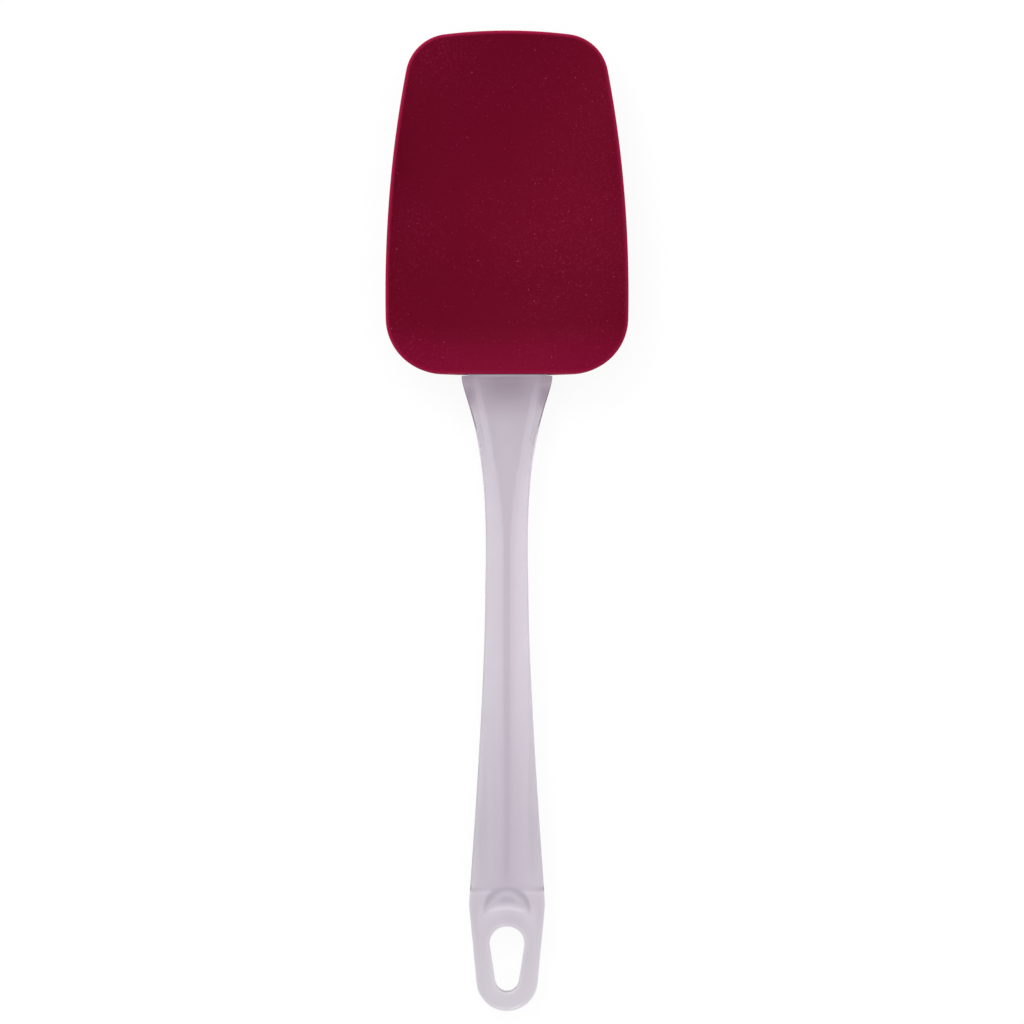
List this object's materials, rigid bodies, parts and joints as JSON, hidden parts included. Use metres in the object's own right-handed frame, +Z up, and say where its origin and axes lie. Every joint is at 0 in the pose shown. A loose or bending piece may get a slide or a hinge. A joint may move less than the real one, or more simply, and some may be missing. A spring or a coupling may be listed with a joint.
{
  "type": "silicone serving spoon",
  "caption": "Shallow silicone serving spoon: a crimson bowl with a straight scraping tip, pulled onto the flat tongue of a clear ridged plastic handle with a hanging loop.",
  "frame": {"origin": "middle of the spoon's footprint, on the table that it lies on with its bowl facing up", "axes": "+Y along the handle from the hanging loop to the tip of the head, +Z up out of the bowl, +X to the right"},
  "size_m": [0.0654, 0.265, 0.0125],
  "materials": {
    "silicone": "matte",
    "clear_plastic": "polished"
  },
  "bodies": {
    "handle": {"handle": "clear_plastic"},
    "head": {"silicone_head": "silicone"}
  },
  "joints": [
    {"name": "head_pull_off", "type": "slide", "parent": "handle", "child": "head", "axis": [0, 1, 0], "range_m": [0, 0.04]}
  ]
}
